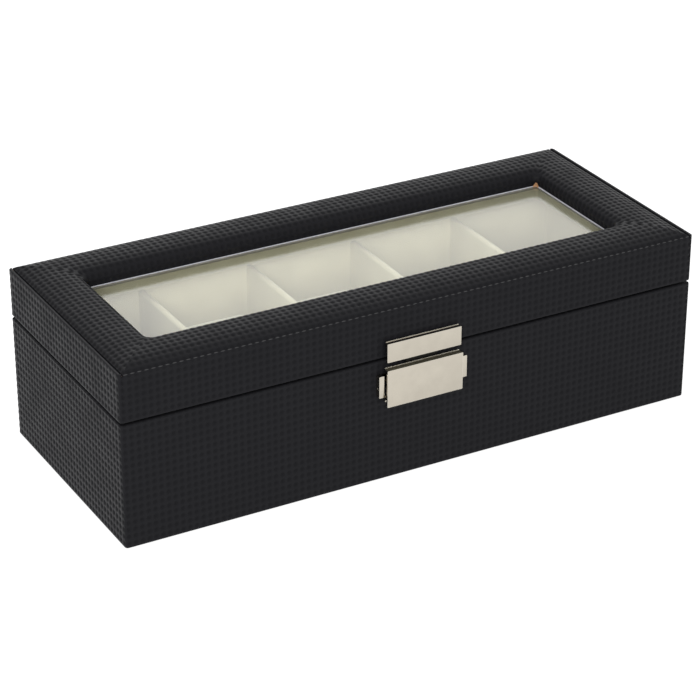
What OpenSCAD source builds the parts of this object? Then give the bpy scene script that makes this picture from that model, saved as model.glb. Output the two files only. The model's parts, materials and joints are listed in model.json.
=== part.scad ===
// Five-slot watch box: a board case in embossed leatherette, a padded lid with a glass window,
// two rear hinges and a sprung press latch. All sizes are in millimetres.
// The origin is the middle of the underside. +X runs along the box, the latch faces -Y, +Z is up.
// The lid is drawn shut.

/* [Case] */
// Width of the case from end to end
case_w = 285; // [250:1:320]
// Depth of the case without latch and hinges
case_d = 117; // [110:1:140]
// Height of the base's rim above the table
base_rim_z = 58.8; // [56:0.1:70]
// Gap between the base and the shut lid, which the hinge leaves fill
seam_gap = 1; // [0.8:0.1:1.4]
// Height of the lid's walls, from their rim to the fold along the top
lid_wall_h = 22.5; // [21:0.1:30]
// Thickness of the wall boards
board_t = 5; // [4:0.5:6]
// Thickness of the leatherette cover
cover_t = 0.7; // [0.5:0.1:0.9]
// Radius of the four upright corners
corner_r = 1.5; // [1:0.1:3]
// Thickness of the felt under the base
felt_t = 0.4; // [0.3:0.1:2]
// Thickness of the bottom board
bottom_t = 4; // [3:0.5:5]

/* [Lining] */
// Thickness of the velvet-covered lining panels
lining_t = 1.5; // [1.2:0.1:2]
// Height that the base lining stands above the rim, to centre the lid
neck_h = 4.2; // [3:0.1:6]
// Clearance between that neck and the lid's walls
neck_gap = 0.5; // [0.4:0.1:0.7]
// Thickness of the padded floor
floor_t = 2; // [1:0.5:4]
// Thickness of the dividers between the slots
divider_t = 3; // [2:0.5:5]
// Height from the top of the dividers to the top of the neck
divider_drop = 1.5; // [0.5:0.5:8]

/* [Watch pillows] */
// Length of a pillow, front to back
pillow_l = 88; // [70:1:98]
// Clearance between a pillow and each side of its slot
pillow_gap = 1.3; // [0.5:0.1:4]
// Height of a pillow
pillow_h = 40; // [30:0.5:42]
// Radius of a pillow's edges
pillow_r = 10; // [6:1:14]

/* [Lid window and pad] */
// Distance from the outside of the case to the window
window_inset = 25; // [22:0.5:30]
// Height from the fold to the crest of the pad
pad_rise = 2.95; // [2:0.05:3.2]
// Distance from the outside of the case to the pad's crest
crest_inset = 13; // [10:0.5:16]
// Depth of the glass below the pad's crest
glass_depth = 8.25; // [8:0.05:8.6]
// Thickness of the glass
glass_t = 2; // [2:0.1:3]
// Thickness of the board under the pad
top_board_t = 2.5; // [2:0.1:3]
// Margin of the glass that is hidden under that board
glass_margin = 5; // [3:0.5:7]
// Height of the velvet-covered liner that hangs round the window, inside the lid
liner_h = 5; // [3:0.5:6]
// Width of the upstanding lip at each end of the lid
lip_w = 1.3; // [1:0.1:2]
// Height of that lip above the wall boards
lip_h = 1; // [0.7:0.1:1.5]
// Width of the groove between the lip and the pad
groove_w = 0.7; // [0.5:0.1:1]

/* [Hinges] */
// Distance of each hinge from the middle of the box
hinge_x = 85; // [60:1:105]
// Length of each hinge
hinge_len = 30; // [24:1:40]
// Radius of the hinge barrels
barrel_r = 1.9; // [1.7:0.1:1.9]
// Radius of the hinge pins
hinge_pin_r = 0.9; // [0.8:0.05:1]
// Gap between the two closed leaves
leaf_gap = 0.1; // [0.1:0.05:0.2]

/* [Latch] */
// Width of the press plate
lever_w = 37.8; // [30:0.1:42]
// Height of the press plate
lever_h = 17.8; // [17:0.1:18]
// Height of the pin that the press plate turns on
latch_pin_z = 46.5; // [45.5:0.1:46.5]
// Distance that the press plate stands out from the case
lever_proud = 4.4; // [4.2:0.1:4.6]
// Width of the strike plate on the lid
strike_w = 36.9; // [30:0.1:42]
// Height of the strike plate
strike_h = 9; // [8:0.1:10]
// Distance that the strike plate stands out from the lid
strike_proud = 3.3; // [3.1:0.1:3.6]

/* [Hidden] */
$fn = 48;

// A small overshoot, so that a cut passes right through a face
cut = 1;

// Levels, from the table up
base_board_z = felt_t + cover_t;
base_board_top = base_rim_z - cover_t;
floor_z = base_board_z + bottom_t;
neck_top_z = base_rim_z + neck_h;
divider_top_z = neck_top_z - divider_drop;
seam_z = base_rim_z + seam_gap / 2;
lid_rim_z = base_rim_z + seam_gap;
lid_board_z = lid_rim_z + cover_t;
fold_z = lid_rim_z + lid_wall_h;
lid_board_top = fold_z - cover_t;
crest_z = fold_z + pad_rise;
glass_top_z = crest_z - glass_depth;
glass_z = glass_top_z - glass_t;
top_board_top = glass_top_z + top_board_t;
ceiling_z = glass_z - lining_t;
lid_lining_gap = 0.6;
lid_lining_z = neck_top_z + lid_lining_gap;

// Distances in from the outside of the case
board_in = cover_t + board_t;
lining_in = board_in + lining_t;
flap_in = 12;
felt_in = 3;

// Insides of the walls, as half widths and half depths
inner_x = case_w / 2 - board_in;
inner_y = case_d / 2 - board_in;
room_x = case_w / 2 - lining_in;
room_y = case_d / 2 - lining_in;

slot_count = 5;
slot_w = (2 * room_x - (slot_count - 1) * divider_t) / slot_count;

// Pad
pad_steps = 12;
shoulder_steps = 10;
shoulder_drop = 6.5;
shoulder_power = 3;
end_groove = lip_w + groove_w;
glass_gap = 0.3;
window_r = 3;
liner_in = window_inset - cover_t - glass_gap;
board_hole_r = 0.5;
foam_slack = 0.08;
cover_clear = 0.1;

// Hinges
barrel_clear = 0.2;
hinge_y = case_d / 2 + barrel_r + barrel_clear;
leaf_t = (seam_gap - leaf_gap) / 2;
leaf_in_y = inner_y + barrel_clear;
leaf_out_y = case_d / 2 - cover_clear;
knuckle_overlap = 0.6;
knuckle_gap = 0.15;
knuckle_len = hinge_len / 3;
hinge_bore_r = hinge_pin_r + 0.05;
hinge_screw_y = inner_y + board_t / 2;
hinge_screw_dx = 8;
hinge_screw_r = 0.8;
hinge_screw_head_r = 1.5;
hinge_screw_len = 8;

// Latch: distances out from the face of the case are counted along -Y
face_y = -case_d / 2;
latch_pin_out = 1.6;
latch_pin_r = 0.7;
latch_bore_r = latch_pin_r + 0.05;
latch_plate_t = 0.6;
latch_plate_w = 36;
latch_plate_z = 38.6;
latch_plate_h = 13;
ear_w = 2.4;
ear_h = 10.4;
ear_proud = 2.6;
ear_span = 44;
ear_lift = 0.8;
lever_t = 1.1;
lever_z = latch_pin_z - lever_h / 2;
lever_flange = 3.3;
fold_lip = [0.35, 0.3];
lug_r = 1.25;
lug_w = 1.5;
lug_in = 1.8;
lug_x = lever_w / 2 - lug_in;
latch_screw_x = 11;
latch_screw_z = 50;
latch_screw_r = 0.9;
latch_screw_head_r = 1.8;
latch_screw_head_t = 0.5;
latch_screw_len = 5.5;
strike_t = 1.2;
strike_z = 58.8;
strike_flange = 2.4;
strike_block_w = 34;
strike_block_z = 60.6;
strike_block_h = 2.9;
hook_w = 16;
hook_t = 0.5;
hook_out = 0.2;
hook_z = 53;
hook_seat = 2;
stud_x = 13;
stud_r = 1;
stud_in = 4.5;
stud_out = 1;
plate_r = 0.3;
pin_short = 0.2;

// Windows in the latch's backplate: below and above the pin, half of the spring's, and beside a lug
window_reach = [4.8, 1.8];
spring_window = 6;
lug_window = [2, 1.2];

// Latch spring: a torsion coil round the latch pin with two legs that point down
wire_r = 0.2;
coil_r = 1;
coil_turns = 6.5;
coil_pitch = 0.55;
coil_steps = 16;
wire_sides = 6;
back_leg = [0.6, -4];
front_leg = [-1.5, -6];

leatherette = [0.09, 0.09, 0.1];
raw_board = [0.72, 0.58, 0.42];
velvet = [0.84, 0.8, 0.68];
nickel = [0.8, 0.78, 0.72];
dark_steel = [0.3, 0.3, 0.31];
foam = [0.9, 0.88, 0.8];
felt = [0.12, 0.12, 0.12];

// ---- Outlines ----

function arc_points(centre, r, from, steps = 6) =
    [for (i = [0:steps]) let (a = from + 90 * i / steps) centre + r * [cos(a), sin(a)]];

// A rectangle with rounded corners, centred on the origin
function rounded(w, d, r) = concat(
    arc_points([w / 2 - r, d / 2 - r], r, 0),
    arc_points([r - w / 2, d / 2 - r], r, 90),
    arc_points([r - w / 2, r - d / 2], r, 180),
    arc_points([w / 2 - r, r - d / 2], r, 270)
);

module slab(inset, bottom, top) {
    r = max(corner_r - inset, 0.05);
    translate([0, 0, bottom])
        linear_extrude(top - bottom) polygon(rounded(case_w - 2 * inset, case_d - 2 * inset, r));
}

// A block from its lowest and its highest corner
module block(low, high) {
    translate(low) cube(high - low);
}

module ring_panel(half_x, half_y, hole_x, hole_y, hole_r, bottom, top) {
    difference() {
        block([-half_x, -half_y, bottom], [half_x, half_y, top]);
        translate([0, 0, bottom - cut])
            linear_extrude(top - bottom + 2 * cut) polygon(rounded(2 * hole_x, 2 * hole_y, hole_r));
    }
}

// ---- Walls ----

// The front and back boards run the full width, and the end boards fit between them.
// side is -1 for the front, 1 for the back.
module long_board(side, bottom, top) {
    intersection() {
        slab(cover_t, bottom, top);
        translate([-case_w / 2, side > 0 ? inner_y : -inner_y - 2 * board_t, bottom - cut])
            cube([case_w, 2 * board_t, top - bottom + 2 * cut]);
    }
}

module end_board(side, bottom, top) {
    x = side > 0 ? inner_x : -inner_x - board_t;
    block([x, -inner_y, bottom], [x + board_t, inner_y, top]);
}

// A lining panel of the base, with its neck set back so that the lid clears it.
// length runs along X, and the panel's back is at y = 0 with its velvet face at y = -lining_t.
// The neck stops short of the panel's ends by end_gap.
module neck_panel(length, end_gap) {
    t = lining_t;
    h = neck_top_z - floor_z;
    neck = neck_top_z - base_board_top;
    edge = 0.3;
    difference() {
        translate([-length / 2, 0, floor_z]) rotate([90, 0, 90]) linear_extrude(length)
            polygon([
                [0, 0], [0, h - neck], [-neck_gap, h - neck], [-neck_gap, h - edge],
                [-neck_gap - edge, h], [edge - t, h], [-t, h - edge], [-t, 0]
            ]);
        if (end_gap > 0) for (side = [-1, 1]) translate([side * length / 2, 0, 0])
            block([-end_gap, -t - cut, base_board_top], [end_gap, cut, neck_top_z + cut]);
    }
}

module lid_lining(side) {
    y = side > 0 ? room_y : -inner_y;
    block([-inner_x, y, lid_lining_z], [inner_x, y + lining_t, ceiling_z]);
}

module lid_end_lining(side) {
    x = side > 0 ? room_x : -inner_x;
    block([x, -room_y, lid_lining_z], [x + lining_t, room_y, ceiling_z]);
}

module base_felt() {
    color(felt) union() {
        slab(felt_in, 0, felt_t);
        slab(flap_in, felt_t / 2, base_board_z);
    }
}

module base_bottom_board() {
    color(raw_board) block([-inner_x, -inner_y, base_board_z], [inner_x, inner_y, floor_z]);
}

module base_front_board() {
    color(raw_board) difference() {
        long_board(-1, base_board_z, base_board_top);
        latch_screw_shanks();
    }
}

module base_back_board() {
    color(raw_board) difference() {
        long_board(1, base_board_z, base_board_top);
        hinge_screw_shanks(-1);
    }
}

module base_left_board() {
    color(raw_board) end_board(-1, base_board_z, base_board_top);
}

module base_right_board() {
    color(raw_board) end_board(1, base_board_z, base_board_top);
}

// The cover is turned in over the rim and under the bottom
module base_cover() {
    color(leatherette) difference() {
        slab(0, felt_t, base_rim_z);
        slab(cover_t, base_board_z, base_board_top);
        slab(flap_in, felt_t - cut, base_board_z + cut);
        slab(board_in, base_board_z, base_rim_z + cut);
        latch_screw_shanks();
        hinge_screw_shanks(-1);
    }
}

module lining_front() {
    color(velvet) translate([0, -inner_y, 0]) rotate([0, 0, 180])
        neck_panel(2 * inner_x, neck_gap);
}

module lining_back() {
    color(velvet) translate([0, inner_y, 0]) neck_panel(2 * inner_x, neck_gap);
}

module lining_left() {
    color(velvet) translate([-inner_x, 0, 0]) rotate([0, 0, 90]) neck_panel(2 * room_y, 0);
}

module lining_right() {
    color(velvet) translate([inner_x, 0, 0]) rotate([0, 0, -90]) neck_panel(2 * room_y, 0);
}

module floor_pad() {
    color(velvet) block([-room_x, -room_y, floor_z], [room_x, room_y, floor_z + floor_t]);
}

// A divider has a rounded top; index counts from the left
module divider(index) {
    x = -room_x + index * slot_w + (index - 0.5) * divider_t;
    r = divider_t / 2;
    color(velvet) translate([x, -room_y, 0]) {
        block([-r, 0, floor_z + floor_t], [r, 2 * room_y, divider_top_z - r]);
        translate([0, 0, divider_top_z - r]) rotate([-90, 0, 0]) cylinder(r = r, h = 2 * room_y);
    }
}

module divider_1() { divider(1); }
module divider_2() { divider(2); }
module divider_3() { divider(3); }
module divider_4() { divider(4); }

// A loose pillow in the middle of its slot, rounded both ways; index counts from the left
module pillow(index) {
    w = slot_w - 2 * pillow_gap;
    x = -room_x + slot_w / 2 + (index - 1) * (slot_w + divider_t);
    color(velvet) translate([x, 0, floor_z + floor_t + pillow_h / 2]) intersection() {
        rotate([90, 0, 0]) translate([0, 0, -pillow_l / 2])
            linear_extrude(pillow_l) polygon(rounded(w, pillow_h, pillow_r));
        rotate([90, 0, 90]) translate([0, 0, -w / 2])
            linear_extrude(w) polygon(rounded(pillow_l, pillow_h, pillow_r));
    }
}

module pillow_1() { pillow(1); }
module pillow_2() { pillow(2); }
module pillow_3() { pillow(3); }
module pillow_4() { pillow(4); }
module pillow_5() { pillow(5); }

// ---- Lid ----

module lid_front_board() {
    color(raw_board) difference() {
        long_board(-1, lid_board_z, lid_board_top);
        strike_studs();
    }
}

module lid_back_board() {
    color(raw_board) difference() {
        long_board(1, lid_board_z, lid_board_top);
        hinge_screw_shanks(1);
    }
}

module lid_left_board() {
    color(raw_board) end_board(-1, lid_board_z, lid_board_top);
}

module lid_right_board() {
    color(raw_board) end_board(1, lid_board_z, lid_board_top);
}

// The cover of the lid's walls is turned in over the rim, and stands up as a lip at each end
module lid_side_cover() {
    color(leatherette) difference() {
        union() {
            difference() {
                slab(0, lid_rim_z, lid_board_top);
                slab(cover_t, lid_board_z, fold_z);
                slab(board_in, lid_rim_z - cut, fold_z);
            }
            difference() {
                slab(0, lid_board_top, lid_board_top + lip_h);
                block([lip_w - case_w / 2, -case_d, lid_rim_z], [case_w / 2 - lip_w, case_d, crest_z]);
            }
        }
        hinge_screw_shanks(1);
        strike_studs();
    }
}

module lid_top_board() {
    hole_in = window_inset - cover_t - glass_gap;
    color(raw_board) ring_panel(
        inner_x, inner_y, case_w / 2 - hole_in, case_d / 2 - hole_in, board_hole_r,
        glass_top_z, top_board_top
    );
}

// Height of the pad's cover at u, the distance in from the front of the case, up to the crest
function pad_z(u) = fold_z + pad_rise * sin(90 * pow(u / crest_inset, 0.8));

// The shoulder is a superellipse, which needs this power of the sine and cosine
function shoulder(value) = pow(value, 2 / shoulder_power);

// Points of the pad from the fold to the window: [u, z], lowered by the depth below its surface
function pad_curve(from, depth, last_angle) = concat(
    [for (i = [0:pad_steps]) let (u = from + (crest_inset - from) * i / pad_steps)
        [u, pad_z(u) - depth]],
    [for (i = [1:shoulder_steps]) let (a = last_angle * i / shoulder_steps) [
        crest_inset + (window_inset - crest_inset - depth) * shoulder(sin(a)),
        crest_z - shoulder_drop + (shoulder_drop - depth) * shoulder(max(cos(a), 0))
    ]]
);

// Along the ends of the lid the pad starts inside the groove, so its section is narrower there
function end_u(u) = end_groove + u * (window_inset - end_groove) / window_inset;

// A closed section carried round the window, with a mitre at each corner
function reversed(list) = [for (i = [len(list) - 1:-1:0]) list[i]];
function corner(p, sx, sy) = [sx * (case_w / 2 - end_u(p[0])), sy * (case_d / 2 - p[0]), p[1]];
corners = [[-1, -1], [1, -1], [1, 1], [-1, 1]];

// Runs the section from one corner to the next, with a mitre at both ends
module mitred_bar(section, first) {
    n = len(section);
    ends = [corners[first], corners[(first + 1) % 4]];
    polyhedron(
        points = [for (e = ends) for (p = section) corner(p, e[0], e[1])],
        faces = concat(
            [[for (i = [0:n - 1]) i]],
            [[for (i = [n - 1:-1:0]) n + i]],
            [for (i = [0:n - 1]) [i, n + i, n + (i + 1) % n, (i + 1) % n]]
        )
    );
}

module mitred_ring(section) {
    n = len(section);
    polyhedron(
        points = [for (c = corners) for (p = section) corner(p, c[0], c[1])],
        faces = [for (k = [0:3]) for (i = [0:n - 1]) let (a = k * n, b = ((k + 1) % 4) * n)
            [a + i, b + i, b + (i + 1) % n, a + (i + 1) % n]]
    );
}

module lid_top_cover() {
    inner_edge = glass_top_z + cover_clear;
    color(leatherette) mitred_ring(reversed(concat(
        pad_curve(0, 0, 90),
        [[window_inset, inner_edge], [window_inset - cover_t, inner_edge]],
        reversed(pad_curve(0, cover_t, 90))
    )));
}

// Foam lies on the top board and reaches over the wall boards, just clear of the cover
foam_depth = cover_t + foam_slack;
foam_end = (top_board_top - crest_z + shoulder_drop) / (shoulder_drop - foam_depth);
foam_angle = acos(pow(foam_end, shoulder_power / 2));
foam_section = reversed(concat(
    [[cover_t, lid_board_top]],
    pad_curve(cover_t, foam_depth, foam_angle),
    [[board_in, top_board_top], [board_in, lid_board_top]]
));

module foam_front() { color(foam) mitred_bar(foam_section, 0); }
module foam_right() { color(foam) mitred_bar(foam_section, 1); }
module foam_back() { color(foam) mitred_bar(foam_section, 2); }
module foam_left() { color(foam) mitred_bar(foam_section, 3); }

function pane_x() = case_w / 2 - window_inset + glass_margin;
function pane_y() = case_d / 2 - window_inset + glass_margin;

module glass_pane() {
    color("lightcyan", 0.4) translate([0, 0, glass_z])
        linear_extrude(glass_t) polygon(rounded(2 * pane_x(), 2 * pane_y(), window_r));
}

module glass_spacer() {
    color(raw_board) ring_panel(
        inner_x, inner_y, pane_x() + glass_gap, pane_y() + glass_gap, window_r,
        glass_z, glass_top_z
    );
}

module lid_ceiling() {
    hole_in = liner_in - lining_t;
    color(velvet) ring_panel(
        inner_x, inner_y, case_w / 2 - hole_in, case_d / 2 - hole_in, window_r,
        ceiling_z, glass_z
    );
}

// An upright strip round the window, inside the hole in the ceiling
module lid_window_liner() {
    hole_in = liner_in - lining_t;
    color(velvet) translate([0, 0, glass_z - liner_h]) linear_extrude(liner_h) difference() {
        polygon(rounded(case_w - 2 * hole_in, case_d - 2 * hole_in, window_r));
        polygon(rounded(case_w - 2 * liner_in, case_d - 2 * liner_in, window_r - lining_t));
    }
}

module lid_lining_front() { color(velvet) lid_lining(-1); }
module lid_lining_back() { color(velvet) lid_lining(1); }
module lid_lining_left() { color(velvet) lid_end_lining(-1); }
module lid_lining_right() { color(velvet) lid_end_lining(1); }

// ---- Hinges ----

// leaf is -1 for the base's leaf and 1 for the lid's
module hinge_screws(leaf) {
    head_z = leaf > 0 ? lid_rim_z - leaf_t : base_rim_z;
    for (side = [-1, 1]) for (dx = [-hinge_screw_dx, hinge_screw_dx])
        translate([side * hinge_x + dx, hinge_screw_y, head_z])
            cylinder(r = hinge_screw_head_r, h = leaf_t);
    hinge_screw_shanks(leaf);
}

module hinge_screw_shanks(leaf) {
    z = leaf > 0 ? lid_rim_z : base_rim_z - hinge_screw_len;
    for (side = [-1, 1]) for (dx = [-hinge_screw_dx, hinge_screw_dx])
        translate([side * hinge_x + dx, hinge_screw_y, z])
            cylinder(r = hinge_screw_r, h = hinge_screw_len);
}

// One knuckle of the barrel, from x0 to x1, with the strip that joins it to its leaf
module knuckle(x0, x1, leaf, bore_r) {
    z = leaf > 0 ? lid_rim_z - leaf_t : base_rim_z;
    reach = hinge_y - barrel_r + knuckle_overlap;
    difference() {
        union() {
            translate([x0, hinge_y, seam_z]) rotate([0, 90, 0]) cylinder(r = barrel_r, h = x1 - x0);
            block([x0, leaf_in_y, z], [x1, reach, z + leaf_t]);
        }
        translate([x0 - cut, hinge_y, seam_z]) rotate([0, 90, 0])
            cylinder(r = bore_r, h = x1 - x0 + 2 * cut);
    }
}

module leaf_plate(leaf) {
    z = leaf > 0 ? lid_rim_z - leaf_t : base_rim_z;
    block([-hinge_len / 2, leaf_in_y, z], [hinge_len / 2, leaf_out_y, z + leaf_t]);
}

module hinge_base_leaf(side) {
    half = knuckle_len / 2;
    color(nickel) difference() {
        translate([side * hinge_x, 0, 0]) {
            leaf_plate(-1);
            knuckle(-half, half, -1, hinge_pin_r);
        }
        hinge_screws(-1);
    }
}

module hinge_lid_leaf(side) {
    start = knuckle_len / 2 + knuckle_gap;
    color(nickel) difference() {
        translate([side * hinge_x, 0, 0]) {
            leaf_plate(1);
            knuckle(start, hinge_len / 2, 1, hinge_bore_r);
            knuckle(-hinge_len / 2, -start, 1, hinge_bore_r);
        }
        hinge_screws(1);
    }
}

module hinge_pin(side) {
    color(nickel) translate([side * hinge_x - hinge_len / 2, hinge_y, seam_z]) rotate([0, 90, 0])
        cylinder(r = hinge_pin_r, h = hinge_len);
}

module hinge_base_leaf_left() { hinge_base_leaf(-1); }
module hinge_base_leaf_right() { hinge_base_leaf(1); }
module hinge_lid_leaf_left() { hinge_lid_leaf(-1); }
module hinge_lid_leaf_right() { hinge_lid_leaf(1); }
module hinge_pin_left() { hinge_pin(-1); }
module hinge_pin_right() { hinge_pin(1); }
module hinge_base_screws() { color(nickel) hinge_screws(-1); }
module hinge_lid_screws() { color(nickel) hinge_screws(1); }

// ---- Latch ----

// A rod of radius r along -Y, from y = from out to y = to, at each of the two places
module rods(x, z, r, from, to) {
    for (sx = [-x, x])
        translate([sx, from, z]) rotate([90, 0, 0]) cylinder(r = r, h = from - to);
}

// A plate of width w standing on height z, between two distances out from the case
module latch_sheet(w, z, h, near, far) {
    translate([0, face_y - near, z + h / 2]) rotate([90, 0, 0])
        linear_extrude(far - near) polygon(rounded(w, h, plate_r));
}

module latch_pin_hole(r) {
    translate([-ear_span, face_y - latch_pin_out, latch_pin_z]) rotate([0, 90, 0])
        cylinder(r = r, h = 2 * ear_span);
}

module latch_screw_shanks() {
    rods(latch_screw_x, latch_screw_z, latch_screw_r, face_y + latch_screw_len, face_y - latch_plate_t);
}

// The backplate carries the pin in two ears, with windows behind the lugs and the spring
module latch_backplate() {
    ear_z = latch_pin_z + ear_lift - ear_h / 2;
    ear_x = ear_span / 2 - ear_w;
    window_z = [latch_pin_z - window_reach[0], latch_pin_z + window_reach[1]];
    near = lug_x - lug_window[0];
    far = lug_x + lug_window[1];
    color(nickel) difference() {
        union() {
            latch_sheet(latch_plate_w, latch_plate_z, latch_plate_h, 0, latch_plate_t);
            latch_sheet(ear_span, ear_z, ear_h, 0, latch_plate_t);
            for (side = [-1, 1]) intersection() {
                latch_sheet(ear_span, ear_z, ear_h, 0, ear_proud);
                translate([side * (ear_x + ear_w), 0, 0])
                    block([-ear_w, face_y - 2 * ear_proud, 0], [ear_w, face_y, base_rim_z]);
            }
        }
        latch_pin_hole(latch_pin_r);
        latch_screw_shanks();
        for (window = [[-spring_window, spring_window], [near, far], [-far, -near]])
            block(
                [window[0], face_y - latch_plate_t - cut, window_z[0]],
                [window[1], face_y + cut, window_z[1]]
            );
    }
}

module latch_pin() {
    length = ear_span - 2 * pin_short;
    color(dark_steel) translate([-length / 2, face_y - latch_pin_out, latch_pin_z])
        rotate([0, 90, 0]) cylinder(r = latch_pin_r, h = length);
}

module latch_screws() {
    color(dark_steel) {
        latch_screw_shanks();
        rods(
            latch_screw_x, latch_screw_z, latch_screw_head_r,
            face_y - latch_plate_t, face_y - latch_plate_t - latch_screw_head_t
        );
    }
}

// The fold along a plate's top, from the back of the plate in to its own end, where it turns up.
// far and near are distances out from the case.
module plate_fold(w, top, far, near, t) {
    half = w / 2 - plate_r;
    block([-half, face_y - far, top - t], [half, face_y - near, top]);
    block([-half, face_y - near - fold_lip[0], top - t], [half, face_y - near, top + fold_lip[1]]);
}

// The press plate is folded back along its top, and hangs on two lugs
module latch_lever() {
    back = lever_proud - lever_t;
    color(nickel) difference() {
        union() {
            latch_sheet(lever_w, lever_z, lever_h, back, lever_proud);
            plate_fold(lever_w, lever_z + lever_h, back, lever_proud - lever_flange, lever_t);
            for (side = [-1, 1]) translate([side * lug_x - lug_w / 2, 0, latch_pin_z]) {
                translate([0, face_y - latch_pin_out, 0]) rotate([0, 90, 0])
                    cylinder(r = lug_r, h = lug_w);
                block([0, face_y - back - cover_t, -lug_r], [lug_w, face_y - latch_pin_out, lug_r]);
            }
        }
        latch_pin_hole(latch_bore_r);
    }
}

// Each station of the spring is [distance along the pin, angle, y and z away from the pin]
function coil_station(i) = let (a = 360 * i / coil_steps)
    [coil_pitch * i / coil_steps, a, coil_r * cos(a), coil_r * sin(a)];
coil_count = coil_turns * coil_steps;
coil_stations = concat(
    [[0, 0, back_leg[0], back_leg[1]]],
    [for (i = [0:coil_count]) coil_station(i)],
    [[coil_pitch * coil_turns, 180, front_leg[0], front_leg[1]]]
);

module latch_spring() {
    n = wire_sides;
    last = len(coil_stations) - 1;
    color(dark_steel)
        translate([-coil_pitch * coil_turns / 2, face_y - latch_pin_out, latch_pin_z])
            polyhedron(
                points = [for (s = coil_stations) for (k = [0:n - 1]) let (b = 360 * k / n) [
                    s[0] + wire_r * sin(b),
                    s[2] + wire_r * cos(b) * cos(s[1]),
                    s[3] + wire_r * cos(b) * sin(s[1])
                ]],
                faces = concat(
                    [[for (k = [n - 1:-1:0]) k]],
                    [[for (k = [0:n - 1]) last * n + k]],
                    [for (i = [0:last - 1]) for (k = [0:n - 1])
                        [i * n + k, i * n + (k + 1) % n, (i + 1) * n + (k + 1) % n, (i + 1) * n + k]]
                )
            );
}

module strike_studs() {
    rods(stud_x, strike_block_z + strike_block_h / 2, stud_r, face_y + stud_in, face_y - stud_out);
}

// The strike plate stands off the lid on a block that holds the hook, and is folded back along its top
module latch_strike() {
    near = strike_proud - strike_t;
    color(nickel) difference() {
        union() {
            latch_sheet(strike_w, strike_z, strike_h, near, strike_proud);
            plate_fold(strike_w, strike_z + strike_h, near, strike_proud - strike_flange, strike_t);
            latch_sheet(strike_block_w, strike_block_z, strike_block_h, 0, near + cover_t);
        }
        strike_studs();
        latch_hook_shape();
    }
}

module latch_hook_shape() {
    block(
        [-hook_w / 2, face_y - hook_out - hook_t, hook_z],
        [hook_w / 2, face_y - hook_out, strike_block_z + hook_seat]
    );
}

module latch_hook() {
    color(dark_steel) latch_hook_shape();
}

module latch_strike_studs() {
    color(dark_steel) strike_studs();
}

base_felt();
base_bottom_board();
base_front_board();
base_back_board();
base_left_board();
base_right_board();
base_cover();
lining_front();
lining_back();
lining_left();
lining_right();
floor_pad();
divider_1();
divider_2();
divider_3();
divider_4();
pillow_1();
pillow_2();
pillow_3();
pillow_4();
pillow_5();
latch_backplate();
latch_pin();
latch_screws();
latch_lever();
latch_spring();
hinge_base_leaf_left();
hinge_base_leaf_right();
hinge_pin_left();
hinge_pin_right();
hinge_base_screws();
lid_front_board();
lid_back_board();
lid_left_board();
lid_right_board();
lid_top_board();
foam_front();
foam_back();
foam_left();
foam_right();
lid_top_cover();
lid_side_cover();
glass_pane();
glass_spacer();
lid_ceiling();
lid_window_liner();
lid_lining_front();
lid_lining_back();
lid_lining_left();
lid_lining_right();
latch_strike();
latch_hook();
latch_strike_studs();
hinge_lid_leaf_left();
hinge_lid_leaf_right();
hinge_lid_screws();
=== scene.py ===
"""Looks of a five-slot watch box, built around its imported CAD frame. Lengths are in metres."""

import json
import math

import bmesh
import bpy
from mathutils import Matrix, Vector, noise


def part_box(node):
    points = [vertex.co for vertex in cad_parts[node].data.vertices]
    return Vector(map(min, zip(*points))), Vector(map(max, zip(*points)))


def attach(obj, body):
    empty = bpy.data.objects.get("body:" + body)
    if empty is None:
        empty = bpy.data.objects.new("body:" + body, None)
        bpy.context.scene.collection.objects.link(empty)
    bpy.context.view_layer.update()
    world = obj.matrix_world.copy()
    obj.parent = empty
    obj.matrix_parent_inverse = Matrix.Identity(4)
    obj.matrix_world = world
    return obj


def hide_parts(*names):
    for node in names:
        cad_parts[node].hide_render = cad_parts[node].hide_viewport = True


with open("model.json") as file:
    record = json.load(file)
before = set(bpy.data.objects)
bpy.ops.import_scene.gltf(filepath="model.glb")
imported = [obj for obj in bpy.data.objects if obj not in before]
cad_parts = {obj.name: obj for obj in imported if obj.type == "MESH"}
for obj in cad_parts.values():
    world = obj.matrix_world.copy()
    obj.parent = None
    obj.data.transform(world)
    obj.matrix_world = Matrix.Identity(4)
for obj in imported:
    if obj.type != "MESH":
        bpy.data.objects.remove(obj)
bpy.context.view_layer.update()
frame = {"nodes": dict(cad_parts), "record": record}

MM = 0.001

# ---- Sizes: those read from the frame, and those that its covers are drawn with ----

base_low, base_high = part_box("base_cover")
side_low, side_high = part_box("lid_side_cover")
pad_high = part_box("lid_top_cover")[1]
pane_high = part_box("glass_pane")[1]
lining_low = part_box("lid_lining_front")[0]

# A length that ends in _IN is measured in from the outside of the case.
HALF_W = base_high.x
HALF_D = base_high.y
CORNER_R = 1.5 * MM
TURN_STEPS = 4
COVER_T = 0.7 * MM
BOARD_IN = 5.7 * MM
SOLE_FLAP_IN = 12 * MM
LIP_W = 1.3 * MM
LIP_H = 1.0 * MM
WINDOW_IN = 25 * MM
CREST_IN = 13 * MM
SHOULDER_DROP = 6.5 * MM
SHOULDER_POWER = 3
PAD_RISE = 2.95 * MM
PAD_TOP = pad_high.z
FOLD_Z = PAD_TOP - PAD_RISE
WALL_TOP = side_high.z - LIP_H
GROOVE_IN = HALF_W - pad_high.x
GLASS_TOP = pane_high.z
FLAP_T = 0.25 * MM
FLAP_TOP = lining_low.z - 0.1 * MM
FLAP_FOOT = 0.3 * MM
RIM_CHAMFER = 0.2 * MM
GROOVE_FLOOR = 0.12 * MM

# ---- The embossed lattice: dimples in a square grid, counted in cells ----

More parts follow.
